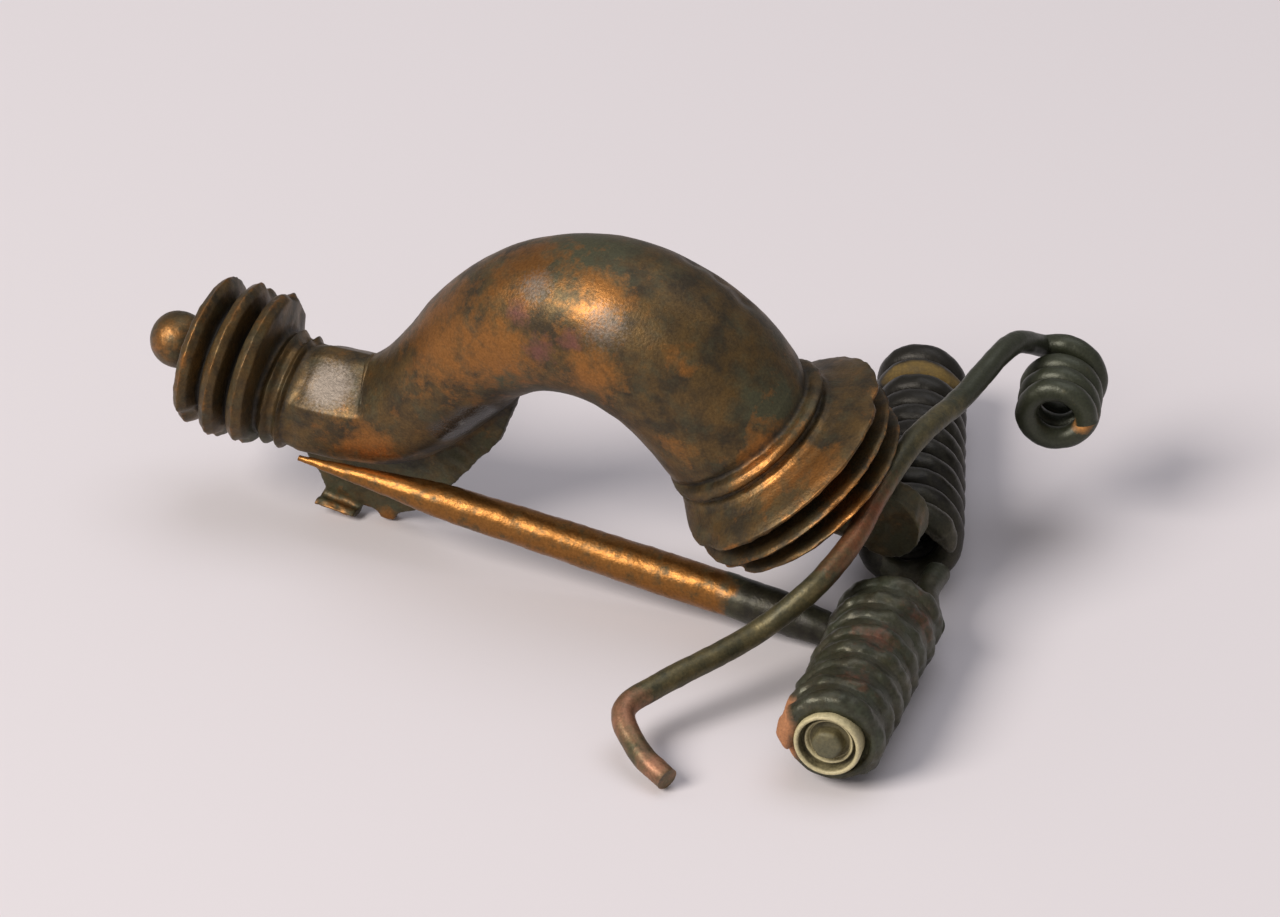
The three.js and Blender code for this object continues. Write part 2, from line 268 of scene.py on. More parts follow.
def finish_piece(piece, node, material):
    """Puts a piece made in mm round the spring's foot into the frame, and joins it to its body."""
    place = Matrix.Translation(Vector(SPRING_FOOT * MM)) @ Matrix.Scale(MM, 4)
    piece.data.transform(place)
    piece.data.materials.clear()
    piece.data.materials.append(material)
    piece.data.shade_smooth()
    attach(piece, "root")
    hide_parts(node)
    triangles = sum(len(p.vertices) - 2 for p in piece.data.polygons)
    print(piece.name, len(piece.data.vertices), "points,", triangles, "triangles")

# %% [markdown]
# ## The bow's line
# The bow is one casting, and every part of it is a ring round one line: the knob, three discs
# and two thin rings, the faceted neck, the round arch, and the mouldings of the head. The line
# lies in a plane, and the head turns a little out of it. Each row below is a ring: its centre
# along the foot (x) and above it (z), and its radius.

# %% Bow sizes
KNOB = {"x": -1.95, "z": -0.05, "r": 1.66, "neck": 0.95}
# x, rim radius, height of the centre, half width of the rim
FOOT_DISCS = [
    (0.0, 4.4, 0.05, 0.42),
    (1.75, 4.7, 0.08, 0.45),
    (3.4, 4.6, 0.2, 0.5),
    (4.65, 3.42, -0.6, 0.3),
    (5.5, 3.37, -0.6, 0.28),
]
DISC_GROOVE, RING_GROOVE, GROOVE_HEIGHT = 3.2, 3.0, -0.45
NECK_CORNERS = [22.5, 82.5, 97.5, 157.5, 217.5, 247.5, 292.5, 322.5]
NECK_FROM, NECK_TO, NECK_R = (6.3, -0.35), (9.1, 0.1), 3.42
ARCH = [
    (10.7, 0.55, 3.25),
    (12.6, 2.3, 3.3),
    (14.4, 5.1, 3.42),
    (16.1, 8.1, 3.7),
    (18.9, 10.75, 4.15),
    (22.4, 12.0, 4.55),
    (25.7, 11.65, 4.72),
    (28.4, 10.3, 4.78),
    (30.2, 8.75, 4.72),
]
HEAD_AT, HEAD_DIP, HEAD_TWIST, HEAD_UNDER = (30.56, 8.48), 45.9 * DEG, 9.4 * DEG, 4.75
# Along the head's own axis: distance, radius, height of the centre.
HEAD_MOULDINGS = [
    (0.0, 4.45, 0.0),
    (0.14, 4.45, 0.0),
    (0.32, 4.95, 0.0),
    (0.55, 5.15, 0.0),
    (0.8, 5.1, 0.0),
    (0.98, 4.72, 0.0),
    (1.1, 4.7, 0.0),
    (1.22, 4.98, 0.1),
    (1.42, 5.1, 0.1),
    (1.75, 5.65, 0.2),
    (2.15, 6.65, 0.4),
    (2.45, 7.15, 0.5),
    (2.68, 7.12, 0.5),
    (2.86, 6.6, 0.5),
    (3.0, 5.6, 0.5),
    (3.3, 5.55, 0.5),
    (3.62, 6.75, 0.6),
    (3.8, 6.98, 0.6),
    (3.98, 6.75, 0.6),
    (4.2, 5.4, 0.6),
    (4.5, 5.3, 0.6),
    (4.82, 6.2, 1.1),
    (4.98, 6.36, 1.1),
    (5.14, 6.2, 1.1),
    (5.3, 5.4, 0.9),
    (5.3, 4.0, 0.5),
]
LEAN, PITCH = 7.4 * DEG, 10.8 * DEG
BOW_AT = Vector((-41.1, 0.33, 9.1))
BOW_TO_TABLE = (
    Matrix.Translation(BOW_AT) @ Matrix.Rotation(PITCH, 4, "Y") @ Matrix.Rotation(LEAN, 4, "X")
)

# %% [markdown]
# Wear rounds every corner by about the same small amount. So each profile is walked in equal
# small steps, and each value is then averaged with its neighbours, which leaves flat stretches
# alone and softens corners, as rubbing does.

# %% Worn profiles
def worn(profile, spacing, softness):
    """Walks a profile (rows of numbers, the first two in mm) in equal steps, with soft corners."""
    profile = np.array(profile, float)
    walked = np.r_[0, np.cumsum(np.hypot(*np.diff(profile[:, :2], axis=0).T))]
    count = max(int(walked[-1] / spacing), 2)
    at = np.linspace(0, walked[-1], count)
    reach = int(3 * softness / spacing) + 1
    weights = np.exp(-0.5 * (np.arange(-reach, reach + 1) * spacing / softness) ** 2)
    weights /= weights.sum()
    columns = []
    for column in profile.T:
        dense = np.interp(at, walked, column)
        before = 2 * dense[0] - dense[reach:0:-1]
        after = 2 * dense[-1] - dense[-2 : -reach - 2 : -1]
        columns.append(np.convolve(np.r_[before, dense, after], weights, "valid"))
    return np.stack(columns, -1)


def smooth_line(points, count):
    """Catmull-Rom curve through points, evenly along its spans, with gentle ends."""
    p = np.array(points, float)
    p = np.vstack([2 * p[0] - p[1], p, 2 * p[-1] - p[-2]])
    out = []
    for u in np.linspace(0, len(p) - 3, count):
        k = min(int(u), len(p) - 4)
        t, (a, b, c, d) = u - k, p[k : k + 4]
        ta = 0.0
        tb = ta + np.linalg.norm(b - a) ** 0.5
        tc = tb + np.linalg.norm(c - b) ** 0.5
        td = tc + np.linalg.norm(d - c) ** 0.5
        x = tb + (tc - tb) * t
        ab = a * (tb - x) / (tb - ta) + b * (x - ta) / (tb - ta)
        bc = b * (tc - x) / (tc - tb) + c * (x - tb) / (tc - tb)
        cd = c * (td - x) / (td - tc) + d * (x - tc) / (td - tc)
        abc = ab * (tc - x) / (tc - ta) + bc * (x - ta) / (tc - ta)
        bcd = bc * (td - x) / (td - tb) + cd * (x - tb) / (td - tb)
        out.append(abc * (tc - x) / (tc - tb) + bcd * (x - tb) / (tc - tb))
    return np.array(out)


# %% [markdown]
# Each station holds its centre, the dip and twist of the line there, the radius, the depth
# below the centre, and how faceted the ring is. Rings stand close together on the mouldings
# and further apart on the smooth arch.

# %% Stations along the bow
FINE, COARSE = 0.075, 0.25  # mm between rings on the mouldings and on the arch


def stations(x, z, r, dip=0.0, twist=0.0, under=None, facet=0.0):
    under = r if under is None else under
    return np.stack([x, z, *(np.broadcast_to(v, x.shape) for v in (dip, twist, r, under, facet))], -1)


def foot_stations():
    ball = [(KNOB["x"] - KNOB["r"] * math.cos(a), KNOB["r"] * math.sin(a), KNOB["z"])
            for a in np.linspace(4, 146, 24) * DEG]
    x0, r0 = FOOT_DISCS[0][0] - FOOT_DISCS[0][3], FOOT_DISCS[0][1] - 0.35
    profile = ball + [(x0 - 0.08, KNOB["neck"], 0), (x0 - 0.05, 0.6 * r0, 0), (x0 - 0.02, r0 - 0.3, 0)]
    for i, (x, r, z, half) in enumerate(FOOT_DISCS):
        if i:
            last = FOOT_DISCS[i - 1]
            middle = (last[0] + last[3] + x - half) / 2
            floor = DISC_GROOVE if i < 3 else RING_GROOVE
            profile.append((middle, floor, GROOVE_HEIGHT * min(i / 3, 1)))
        profile += [(x - half, r - 0.35, z), (x, r, z), (x + half, r - 0.35, z)]
    x, r, z = worn(profile, FINE, 0.07).T
    return stations(x, z, r)


def neck_stations():
    t = np.linspace(0, 1, 18)
    x = NECK_FROM[0] + (NECK_TO[0] - NECK_FROM[0]) * t
    z = NECK_FROM[1] + (NECK_TO[1] - NECK_FROM[1]) * t
    r = NECK_R - 0.14 * (1 - step(0, 0.2, t))
    return stations(x, z, r, facet=1.0)


def arch_stations():
    line = smooth_line([(*NECK_TO, NECK_R), *ARCH, (*HEAD_AT, ARCH[-1][2])], 400)
    x, z, r = worn(line, COARSE, 0.3).T
    u = np.linspace(0, 1, len(x))
    dip = np.arctan2(-np.gradient(z), np.gradient(x)) * step(0, 0.08, u)
    return stations(x, z, r, dip, HEAD_TWIST * step(0.6, 1, u), facet=np.clip(1 - u * 4, 0, 1))[1:-1]


def head_point(t, e):
    x = HEAD_AT[0] + t * math.cos(HEAD_DIP) + e * math.sin(HEAD_DIP)
    z = HEAD_AT[1] - t * math.sin(HEAD_DIP) + e * math.cos(HEAD_DIP)
    return x, z


def head_stations():
    t, r, e = worn(HEAD_MOULDINGS, FINE * 0.85, 0.06).T
    x, z = head_point(t, e)
    return stations(x, z, r, HEAD_DIP, HEAD_TWIST, HEAD_UNDER + e)


bow_line = np.concatenate([foot_stations(), neck_stations(), arch_stations(), head_stations()])
print("stations along the bow:", len(bow_line))

# %% [markdown]
# The neck is eight-sided, with a narrow crest and broad slanting faces. A polygon's edge, seen
# from its centre, is nearer than its corners by the cosine of the angle from the edge's middle.

# %% Rings of the bow
SIDES = 128


def cornered(angles):
    out = np.ones(len(angles))
    for low, high in zip(NECK_CORNERS, NECK_CORNERS[1:] + [NECK_CORNERS[0] + 360]):
        into = (angles - low) % 360
        span = high - low
        inside = into <= span
        edge = math.cos(span / 2 * DEG) / np.cos((into - span / 2) * DEG)
        out[inside] = edge[inside]
    return out


def bow_rings():
    angle = np.arange(SIDES) * 360 / SIDES
    edge = cornered(angle)
    edge = (np.roll(edge, 1) + 2 * edge + np.roll(edge, -1)) / 4  # soft corners
    x, z, dip, twist, r, under, facet = bow_line.T[:, :, None]
    up = np.stack([np.sin(dip), 0 * dip, np.cos(dip)], -1)
    along = np.stack([np.cos(dip), 0 * dip, -np.sin(dip)], -1)
    side = np.array([0, 1, 0]) * np.cos(twist)[..., None] - along * np.sin(twist)[..., None]
    rr = r * (1 + (edge - 1) * facet)
    sine, cosine = np.sin(angle * DEG), np.cos(angle * DEG)
    depth = np.where(sine < 0, under / r, 1.0)
    centre = np.stack([x, 0 * x, z], -1)
    return centre + up * (depth * rr * sine)[..., None] + side * (rr * cosine)[..., None]


rings = bow_rings()
bow = ring_mesh("cast_bow", rings)
print("bow rings", rings.shape)
# %% [markdown]
# ## The catchplate and the lug
# The catchplate is a thin plate under the foot, whose lower edge rolls towards the pin and
# holds its tip. The lug is a thick disc behind the head that steadies the spring. Both were
# cast with the bow, so they melt into it. Voxel remesh turns a few overlapping plain solids
# into one even skin, which smoothing and mottling then wear down like the rest.

# %% Plain solids for the plate and the lug
PLATE_OUTLINE = [
    (6.4, -2.2),
    (6.3, -4.3),
    (7.4, -5.4),
    (7.85, -6.5),
    (11.1, -6.6),
    (11.3, -7.0),
    (12.2, -6.9),
    (12.4, -6.3),
    (12.9, -5.9),
    (13.4, -5.6),
    (15.5, -2.5),
    (17.7, 1.5),
    (18.4, 5.4),
    (18.1, 8.4),
    (15.4, 7.2),
    (12.6, 2.2),
    (10.6, -0.4),
]
PLATE_THICK = 1.1
HOOK = {"from": 7.65, "to": 10.2, "z": -6.165, "inner": 0.5, "wall": 0.62}
LUG = {"x": 39.39, "y": 1.25, "z": 4.6, "r": 2.13, "thick": 1.9}
STEM = {"r": 1.35, "start": (4.8, -0.6, 0.2), "end": (9.0, 2.6, 1.3)}


def slab(bm, outline, lift, matrix):
    """A flat outline given thickness: outline points become x and y of the matrix, lift is z."""
    made = [bm.verts.new(matrix @ Vector((a, b, -lift / 2))) for a, b in outline]
    face = bm.faces.new(made)
    raised = bmesh.ops.extrude_face_region(bm, geom=[face])["geom"]
    move = matrix.to_3x3() @ Vector((0, 0, lift))
    bmesh.ops.translate(bm, vec=move, verts=[g for g in raised if isinstance(g, bmesh.types.BMVert)])


def circle(radius, count=40):
    turns = [k * math.tau / count for k in range(count)]
    return [(radius * math.cos(a), radius * math.sin(a)) for a in turns]


def catchplate_solids(bm):
    upright = Matrix.Rotation(90 * DEG, 4, "X")
    slab(bm, PLATE_OUTLINE, PLATE_THICK, upright)
    outer = HOOK["inner"] + HOOK["wall"]
    middle_y = PLATE_THICK / 2 - outer
    arc = np.linspace(0, 150, 14) * DEG
    hook = [
        (middle_y + r * math.cos(a), HOOK["z"] - r * math.sin(a))
        for r, angles in ((outer, arc), (HOOK["inner"], arc[::-1]))
        for a in angles
    ]
    middle_x = (HOOK["from"] + HOOK["to"]) / 2
    # Its section lies across the foot, and its thickness runs along it.
    across = Matrix(((0, 0, 1, middle_x), (1, 0, 0, 0), (0, 1, 0, 0), (0, 0, 0, 1)))
    slab(bm, hook, HOOK["to"] - HOOK["from"], across)


def lug_solids(bm):
    place = Matrix.Translation((LUG["x"], LUG["y"], LUG["z"]))
    slab(bm, circle(LUG["r"]), LUG["thick"], place @ Matrix.Rotation(90 * DEG, 4, "X"))
    (t0, e0, y0), (t1, e1, y1) = STEM["start"], STEM["end"]
    (x0, z0), (x1, z1) = head_point(t0, e0), head_point(t1, e1)
    start, end = Vector((x0, y0, z0)), Vector((x1, y1, z1))
    turn = (end - start).to_track_quat("Z", "Y").to_matrix().to_4x4()
    slab(bm, circle(STEM["r"]), (end - start).length, Matrix.Translation((start + end) / 2) @ turn)


def remeshed(name, fill, voxel, rounds):
    """Overlapping solids made one skin: voxel is its grid in mm, rounds how often it is softened."""
    bm = bmesh.new()
    fill(bm)
    bmesh.ops.recalc_face_normals(bm, faces=bm.faces)
    mesh = bpy.data.meshes.new(name)
    bm.to_mesh(mesh)
    piece = bpy.data.objects.new(name, mesh)
    bpy.context.scene.collection.objects.link(piece)
    skin = piece.modifiers.new("one skin", "REMESH")
    skin.voxel_size = voxel
    soften = piece.modifiers.new("soften", "SMOOTH")
    soften.factor, soften.iterations = 0.5, rounds
    return applied(piece)


plate = remeshed("catchplate", catchplate_solids, 0.14, 4)
lug = remeshed("lug", lug_solids, 0.16, 6)
print("catchplate points", len(plate.data.vertices), "lug points", len(lug.data.vertices))

# %% Join them to the bow
skin_points = points_of(bow)
added_points = np.concatenate([points_of(plate), points_of(lug)])
unite(bow, [plate, lug])
print("bow joined", len(bow.data.vertices), "points")


def nearest(points, others):
    """For each point, the index of the nearest of the others and how far it is."""
    tree = kdtree.KDTree(len(others))
    for i, p in enumerate(others):
        tree.insert(p, i)
    tree.balance()
    found = [tree.find(p)[1:] for p in points]
    return np.array([f[0] for f in found]), np.array([f[1] for f in found])


nearest_skin, off_skin = nearest(points_of(bow), skin_points)
near_row = np.minimum(nearest_skin // SIDES, len(bow_line) - 1)  # the ring each point belongs to
_, off_added = nearest(points_of(bow), added_points)
SEAM_REACH, SEAM_ROUNDS = 0.4, 8  # mm from both skins, and how often the join is softened
seam = (off_skin < SEAM_REACH) & (off_added < SEAM_REACH)
bm = bmesh.new()
bm.from_mesh(bow.data)
bm.verts.ensure_lookup_table()
seam_verts = [bm.verts[i] for i in np.flatnonzero(seam)]
every_way = {"use_axis_x": True, "use_axis_y": True, "use_axis_z": True}
for _ in range(SEAM_ROUNDS):
    bmesh.ops.smooth_vert(bm, verts=seam_verts, factor=0.5, **every_way)
bm.to_mesh(bow.data)
bm.free()
print("seam points softened", len(seam_verts))

# %% [markdown]
# ## Wear, bites and burial on the bow
# The rims of the discs have lost small bites, the casting has a few pits behind the crest, and
# the whole skin is a little uneven. Points only ever move inwards, as metal is lost. At the same
# time each point learns how worn, green, red or dirty it is: ridges are rubbed bright, grooves
# keep their dirt, and a few broad patches follow the real brooch. Some of these colours are
# painted light: a grey highlight on the crest of the arch, gold highlights on the ring before
# the head and on the catchplate's rolled edge, and painted shade under the arch.

# %% Wear of the bow
BITES = [  # middle, size and depth in mm, in the bow's own frame
    ((2.0, 3.1, 3.3), 0.8, 0.45),
    ((3.9, 3.3, 2.4), 0.7, 0.4),
    ((3.5, 2.4, 3.9), 0.5, 0.3),
    ((5.4, 1.5, 2.3), 0.5, 0.3),
    ((0.3, -3.4, -2.4), 0.7, 0.4),
    ((1.9, -2.9, -3.5), 0.6, 0.3),
    ((3.6, -3.0, -3.1), 0.6, 0.3),
    ((25.9, 2.6, 15.6), 0.7, 0.22),
    ((27.6, 2.3, 15.3), 0.5, 0.2),
    ((29.2, 2.0, 14.8), 0.6, 0.22),
    ((31.7, -6.2, 4.9), 0.6, 0.35),
    ((33.4, -5.4, 3.0), 0.8, 0.45),
    ((37.5, 1.5, 12.0), 0.7, 0.35),
]


def spots(points, *places):
    """Soft round patches: each place is x, y, z and a size in mm."""
    total = 0
    for x, y, z, size in places:
        total = total + np.exp(-((points - (x, y, z)) ** 2).sum(1) / size**2)
    return total


# Where each finish gathers on the bow: x, y, z and a size in mm, in its own frame.
GOLDEN = [
    (14.3, -2.8, 9.0, 3.4),  # inside the rise of the arch
    (18.0, -1.5, 15.0, 2.2),
    (22.6, -3.0, 15.6, 1.9),
    (23.5, -4.6, 11.8, 1.8),
    (18.5, -3.9, 10.6, 2.0),
    (27.9, -3.6, 14.0, 1.2),
    (29.0, -4.7, 9.0, 1.6),
    (-2.2, -0.9, 0.6, 1.1),  # the knob
    # The ring before the head: rubbed gold, with a painted gold highlight along its ridge.
    (33.4, -3.9, 9.8, 2.2),  # the ring before the head
    (36.4, -3.6, 10.4, 1.2),
    (11.0, -3.2, -0.4, 2.2),
    # The catchplate's rolled edge: worn gold, with a painted gold highlight on its upturned rim.
    (8.9, -1.3, -7.2, 1.2),  # the catchplate's rolled edge
    (11.8, -0.4, -6.9, 0.9),
    (38.5, -3.6, 8.6, 1.6),
]
GREEN = [
    (18.8, -3.8, 9.0, 1.5),
    (32.3, -2.7, 12.0, 1.3),
    (33.3, -1.2, 12.1, 1.0),
    (20.8, 0.2, 16.3, 2.6),
    (4.0, -2.0, -3.4, 1.6),
]
CUPRITE = [(18.5, -3.5, 13.3, 0.8), (20.3, -4.3, 12.0, 1.1), (22.0, -4.3, 13.4, 0.8)]
NECK_FACE = [(7.9, -1.9, 2.3, 1.5)]
# Painted highlight: a pale grey glint on the crest of the arch.
HIGHLIGHT_ON_CREST = [(23.4, -3.8, 14.7, 1.6), (19.0, -2.6, 14.7, 1.3)]
# Painted shade: dark patches on the underside of the arch and the catchplate under it.
SHADE_UNDER_ARCH = [(12.5, -1.5, -1.5, 1.8), (17.2, -0.8, 4.6, 2.4)]
LACQUER = [(15.4, -2.4, 2.9, 1.1), (16.6, -2.3, 4.6, 1.1)]
BLUR_RINGS, BLUR_REACH = 8, 24  # rings over which a ridge is told from its surroundings


def ridges():
    """How far each ring stands out from the rings about it, in mm."""
    radius = bow_line[:, 4]
    blur = np.exp(-0.5 * (np.arange(-BLUR_REACH, BLUR_REACH + 1) / BLUR_RINGS) ** 2)
    return radius - np.convolve(np.pad(radius, BLUR_REACH, "edge"), blur / blur.sum(), "valid")


def weather_bow():
    points, normals = points_of(bow), normals_of(bow)
    on_bow = off_skin < 0.3
    ridge = np.where(on_bow, ridges()[near_row], 0)
    moulded = np.where(on_bow, step(0.02, 0.3, np.abs(ridge)), 1)
    fine = mottle(points, 0.45, 1) * (0.012 + 0.06 * moulded)
    broad = mottle(points, 2.6, 2) * 0.045 + 0.045
    outwards = points - rings.mean(1)[near_row]
    outwards /= np.linalg.norm(outwards, axis=1, keepdims=True) + 1e-6
    bite = sum(depth * spots(points, (*place, size)) for place, size, depth in BITES)
    rim = step(0.1, 0.5, ridge) * np.maximum(mottle(points, 0.9, 5), 0) * 0.22
    worn_off = normals * (fine + broad + 0.03 * moulded)[:, None]
    move_points(bow, points - worn_off - outwards * (bite + rim)[:, None])

    x = points[:, 0]
    cast = np.where(on_bow, 0, 1)
    towards_head = step(24, 31, x) * (x < 32)
    # Ridges rubbed bright, and painted gold highlights on the head's ring and the catchplate's rim.
    rubbed_and_lit = step(0.12, 0.5, ridge) * 0.6 + 0.62 * spots(points, *GOLDEN)
    paint(bow, "wear_and_highlight", rubbed_and_lit + 0.1 - 0.3 * towards_head)
    paint(bow, "green", 0.6 * spots(points, *GREEN) + 0.3 * cast + 0.28)
    paint(bow, "red", 0.68 * spots(points, *CUPRITE) + 0.25 * step(0.1, 0.4, ridge))
    # Grey on the neck's speckled upper facet, and a painted grey highlight on the arch's crest.
    paint(bow, "grey_facet_and_highlight", 0.95 * spots(points, *NECK_FACE) + 0.6 * spots(points, *HIGHLIGHT_ON_CREST))
    # Dirt kept in the grooves, and painted shade under the arch.
    paint(bow, "groove_dirt_and_shade", step(0.05, 0.45, -ridge) + 0.8 * spots(points, *SHADE_UNDER_ARCH))
    lacquer = 1.5 * spots(points, *LACQUER)
    paint(bow, "lacquer", lacquer)
    paint(bow, "flecks", 0.2 * np.minimum(lacquer, 1))


weather_bow()
bow.data.transform(BOW_TO_TABLE)

# %% [markdown]
# ## Wire by two rules
# Everything else is wire. One node tree winds a coil: a flat grid, whose long way is the turning
# and whose short way goes round the wire, is bent into place by a formula. The other follows a
# path of points with a thickness at each. Both end in real, closed surfaces. Sizes are inputs,
# so both coils share one tree, and so do the pin, the crossing and the loose wire.

# %% Node tree: a coil of wire
def new_tree(name, sizes):
    tree = bpy.data.node_groups.new(name, "GeometryNodeTree")
    tree.interface.new_socket("Geometry", in_out="INPUT", socket_type="NodeSocketGeometry")
    for label, kind, value in sizes:
        socket = tree.interface.new_socket(label, in_out="INPUT", socket_type="NodeSocket" + kind)
        if value is not None:
            socket.default_value = value
    tree.interface.new_socket("Geometry", in_out="OUTPUT", socket_type="NodeSocketGeometry")
    return tree, tree.nodes.new("NodeGroupInput").outputs


def close_tree(tree, shape, size):
    """Roughens the surface, then makes it real and gives it its metal."""
    lumps = {"W": size["Seed"], "Scale": size["Lumps per mm"]}
    noise = add(tree, "ShaderNodeTexNoise", lumps, noise_dimensions="4D")
    swing = add(tree, "ShaderNodeMapRange", {"Value": noise.outputs[0], "From Min": 0.3, "From Max": 0.7})
    tree.links.new(size["Lump Height"], swing.inputs["To Max"])
    normal = add(tree, "GeometryNodeInputNormal")
    push = add(tree, "ShaderNodeVectorMath", {0: normal, "Scale": swing}, operation="SCALE")
    rough = add(tree, "GeometryNodeSetPosition", {"Geometry": shape, "Offset": push.outputs[0]})
    real = add(tree, "GeometryNodeRealizeInstances", {"Geometry": rough})
    coated = add(tree, "GeometryNodeSetMaterial", {"Geometry": real, "Material": size["Metal"]})
    add(tree, "NodeGroupOutput", {"Geometry": coated})


ROUGHNESS_INPUTS = [
    ("Lumps per mm", "Float", 0.8),
    ("Lump Height", "Float", -0.08),
    ("Seed", "Float", 1.0),
    ("Metal", "Material", None),
]


def coil_tree():
    tree, size = new_tree("coil of wire", [
        ("Start Turn", "Float", 0.0),
        ("End Turn", "Float", 50.0),
        ("Start Radius", "Float", 2.2),
        ("End Radius", "Float", 2.2),
        ("Length", "Float", 12.0),
        ("Wire Across", "Float", 0.8),
        ("Wire Along", "Float", 0.8),
        ("Blunt Ends", "Float", 0.01),
        ("Steps", "Int", 800),
        ("Sides", "Int", 24),
        *ROUGHNESS_INPUTS,
    ])
    grid = add(tree, "GeometryNodeMeshGrid", {"Vertices X": size["Steps"], "Vertices Y": size["Sides"]})
    place = add(tree, "ShaderNodeSeparateXYZ", {"Vector": grid.outputs["UV Map"]})
    along, around = place.outputs["X"], place.outputs["Y"]
    turning = {"Value": along, "To Min": size["Start Turn"], "To Max": size["End Turn"]}
    turn = add(tree, "ShaderNodeMapRange", turning)
    narrowing = {"Value": along, "To Min": size["Start Radius"], "To Max": size["End Radius"]}
    radius = add(tree, "ShaderNodeMapRange", narrowing)
    middle = add(tree, "ShaderNodeMath", {0: along, 1: size["Length"]}, operation="MULTIPLY")
    angle = add(tree, "ShaderNodeMath", {0: around, 1: math.tau}, operation="MULTIPLY")
    to_end = add(tree, "ShaderNodeMath", {0: along, 1: 0.5}, operation="PINGPONG")
    share = {0: to_end, 1: size["Blunt Ends"]}
    part = add(tree, "ShaderNodeMath", share, operation="DIVIDE", use_clamp=True)
    blunt = add(tree, "ShaderNodeMath", {0: part, 1: 0.5}, operation="POWER")
    cosine = add(tree, "ShaderNodeMath", {0: angle}, operation="COSINE")
    sine = add(tree, "ShaderNodeMath", {0: angle}, operation="SINE")
    high = add(tree, "ShaderNodeMath", {0: size["Wire Across"], 1: blunt}, operation="MULTIPLY")
    wide = add(tree, "ShaderNodeMath", {0: size["Wire Along"], 1: blunt}, operation="MULTIPLY")
    out = add(tree, "ShaderNodeMath", {0: cosine, 1: high, 2: radius}, operation="MULTIPLY_ADD")
    on = add(tree, "ShaderNodeMath", {0: sine, 1: wide, 2: middle}, operation="MULTIPLY_ADD")
    flat = add(tree, "ShaderNodeCombineXYZ", {"X": out, "Y": on})
    about = {"Vector": flat, "Angle": turn}
    wound = add(tree, "ShaderNodeVectorRotate", about, rotation_type="Y_AXIS", invert=True)
    sink = add(tree, "ShaderNodeMath", {0: radius, 1: size["Start Radius"]}, operation="SUBTRACT")
    lower = add(tree, "ShaderNodeCombineXYZ", {"Z": sink})
    point = add(tree, "ShaderNodeVectorMath", {0: wound, 1: lower}, operation="ADD")
    bent = add(tree, "GeometryNodeSetPosition", {"Geometry": grid, "Position": point.outputs[0]})
    closed = add(tree, "GeometryNodeMergeByDistance", {"Geometry": bent, "Distance": 0.002})
    close_tree(tree, closed, size)
    return tree


# %% Node tree: a wire along a path
def wire_tree():
    tree, size = new_tree("wire along a path", [
        ("Step", "Float", 0.15),
        ("Sides", "Int", 28),
        *ROUGHNESS_INPUTS,
    ])
    line = add(tree, "GeometryNodeMeshToCurve", {"Mesh": size["Geometry"]})
    wanted = {"Name": "thickness"}
    thickness = add(tree, "GeometryNodeInputNamedAttribute", wanted, data_type="FLOAT")
    sized = add(tree, "GeometryNodeSetCurveRadius", {"Curve": line, "Radius": thickness.outputs[0]})
    even = add(tree, "GeometryNodeResampleCurve", {"Curve": sized, "Length": size["Step"]}, mode="LENGTH")
    circle = add(tree, "GeometryNodeCurvePrimitiveCircle", {"Resolution": size["Sides"], "Radius": 1.0})
    thick = add(tree, "GeometryNodeInputRadius")
    tube = add(tree, "GeometryNodeCurveToMesh",
               {"Curve": even, "Profile Curve": circle.outputs[0], "Scale": thick, "Fill Caps": True})
    close_tree(tree, tube, size)
    return tree


def grown(name, tree, mesh, sizes):
    """An object whose mesh the tree makes, with the tree's sizes set by their identifiers."""
    piece = bpy.data.objects.new(name, mesh)
    modifier = piece.modifiers.new("shape", "NODES")
    modifier.node_group = tree
    sockets = [item for item in tree.interface.items_tree if item.in_out == "INPUT"]
    names = {item.name: item.identifier for item in sockets}
    for label, value in sizes.items():
        modifier[names[label]] = value
    bpy.context.scene.collection.objects.link(piece)
    applied(piece)
    bm = bmesh.new()
    bm.from_mesh(piece.data)
    bmesh.ops.remove_doubles(bm, verts=bm.verts, dist=0.001)
    bmesh.ops.recalc_face_normals(bm, faces=bm.faces)
    bm.to_mesh(piece.data)
    bm.free()
    print(name, len(piece.data.vertices), "points")
    return piece


COIL_TREE, WIRE_TREE = coil_tree(), wire_tree()


def path_wire(name, points, thickness, sizes):
    """A wire through points in mm, with a radius in mm at each."""
    mesh = bpy.data.meshes.new(name)
    mesh.from_pydata([tuple(p) for p in points], [(i, i + 1) for i in range(len(points) - 1)], [])
    layer = mesh.attributes.new("thickness", "FLOAT", "POINT")
    layer.data.foreach_set("value", np.broadcast_to(thickness, len(points)).astype(np.float32))
    return grown(name, WIRE_TREE, mesh, sizes)


# %% [markdown]
# ## The spring and the pin
# The pin runs on into the spring, which is wound in two halves, the near one round an iron
# rod. The near half is thick with corrosion, so its turns have grown into one another. The far
# half is cleaner and narrows towards its end. Corrosion has filled the near half too, so a
# rough tube stands between its turns.

# %% Spring and pin
COIL_RADIUS, COIL_HEIGHT = 2.27, 3.02
NEAR = {"from": -3.4, "to": -16.2, "turns": 8, "wire": 1.5, "skew": 4.0 * DEG}
FAR = {"from": 3.35, "to": 24.0, "turns": 11, "wire": 1.66, "skew": 16.5 * DEG, "end": 0.8}


def coil_place(spec):
    return Matrix.Translation((0, 0, COIL_HEIGHT)) @ Matrix.Rotation(spec["skew"], 4, "Z")


